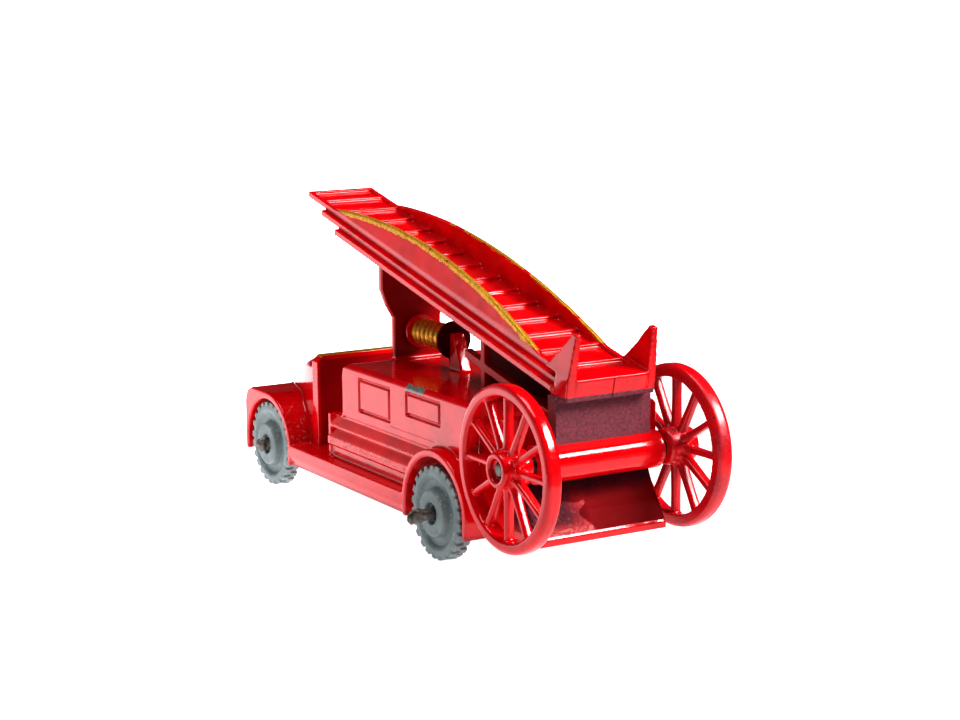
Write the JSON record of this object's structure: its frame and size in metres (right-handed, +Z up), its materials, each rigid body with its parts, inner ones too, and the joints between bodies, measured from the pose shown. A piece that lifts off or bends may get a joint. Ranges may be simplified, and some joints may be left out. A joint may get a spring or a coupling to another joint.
{
  "type": "toy fire engine",
  "caption": "Small cast toy fire engine with an open cab, locker body, hose reel and a sloping escape ladder on tall spoked wheels; all wheels and axles turn.",
  "frame": {"origin": "on the ground, at the middle of the engine's length and width", "axes": "+X to the engine's left, +Y to its rear, +Z up"},
  "size_m": [0.0224, 0.057, 0.0289],
  "materials": {
    "red_enamel": "glossy stoved enamel over a zinc casting",
    "gold_paint": "hand-brushed gold paint",
    "grey_plastic": "dull blue-grey moulded plastic",
    "steel": "dull darkened steel wire with rust at its ends"
  },
  "bodies": {
    "castings": {"bonnet": "red_enamel", "cab_floor": "red_enamel", "escape_axle_tube": "red_enamel", "escape_back_plate": "red_enamel", "escape_keel": "red_enamel", "gallows": "red_enamel", "hose": "gold_paint", "hose_reel": "red_enamel", "ladder_foot": "red_enamel", "ladder_main_section": "red_enamel", "ladder_middle_section": "red_enamel", "ladder_top_section": "red_enamel", "left_escape_frame": "red_enamel", "left_front_wing": "red_enamel", "left_headlamp": "red_enamel", "left_ladder_horn": "red_enamel", "left_ladder_truss": "red_enamel", "left_rear_wing": "red_enamel", "left_running_board": "red_enamel", "locker_body": "red_enamel", "radiator_grille": "red_enamel", "reel_stand": "red_enamel", "right_escape_frame": "red_enamel", "right_front_wing": "red_enamel", "right_headlamp": "red_enamel", "right_ladder_horn": "red_enamel", "right_ladder_truss": "red_enamel", "right_rear_wing": "red_enamel", "right_running_board": "red_enamel", "scuttle": "red_enamel", "tail_apron": "red_enamel"},
    "front_axle": {"front_axle": "steel"},
    "rear_axle": {"rear_axle": "steel"},
    "escape_axle": {"escape_axle": "steel"},
    "left_escape_wheel": {"left_escape_wheel": "red_enamel"},
    "left_front_wheel": {"left_front_wheel": "grey_plastic"},
    "left_rear_wheel": {"left_rear_wheel": "grey_plastic"},
    "right_escape_wheel": {"right_escape_wheel": "red_enamel"},
    "right_front_wheel": {"right_front_wheel": "grey_plastic"},
    "right_rear_wheel": {"right_rear_wheel": "grey_plastic"}
  },
  "joints": [
    {"name": "front_axle_turn", "type": "hinge", "parent": "castings", "child": "front_axle", "pos_m": [0, -0.0233, 0.0042], "axis": [1, 0, 0], "continuous": true},
    {"name": "rear_axle_turn", "type": "hinge", "parent": "castings", "child": "rear_axle", "pos_m": [0, 0.0095, 0.0042], "axis": [1, 0, 0], "continuous": true},
    {"name": "escape_axle_turn", "type": "hinge", "parent": "castings", "child": "escape_axle", "pos_m": [0, 0.0215, 0.01045], "axis": [1, 0, 0], "continuous": true},
    {"name": "left_escape_wheel_turn", "type": "hinge", "parent": "escape_axle", "child": "left_escape_wheel", "pos_m": [0, 0.0215, 0.01045], "axis": [1, 0, 0], "continuous": true},
    {"name": "left_front_wheel_turn", "type": "hinge", "parent": "front_axle", "child": "left_front_wheel", "pos_m": [0, -0.0233, 0.0042], "axis": [1, 0, 0], "continuous": true},
    {"name": "left_rear_wheel_turn", "type": "hinge", "parent": "rear_axle", "child": "left_rear_wheel", "pos_m": [0, 0.0095, 0.0042], "axis": [1, 0, 0], "continuous": true},
    {"name": "right_escape_wheel_turn", "type": "hinge", "parent": "escape_axle", "child": "right_escape_wheel", "pos_m": [0, 0.0215, 0.01045], "axis": [1, 0, 0], "continuous": true},
    {"name": "right_front_wheel_turn", "type": "hinge", "parent": "front_axle", "child": "right_front_wheel", "pos_m": [0, -0.0233, 0.0042], "axis": [1, 0, 0], "continuous": true},
    {"name": "right_rear_wheel_turn", "type": "hinge", "parent": "rear_axle", "child": "right_rear_wheel", "pos_m": [0, 0.0095, 0.0042], "axis": [1, 0, 0], "continuous": true}
  ]
}
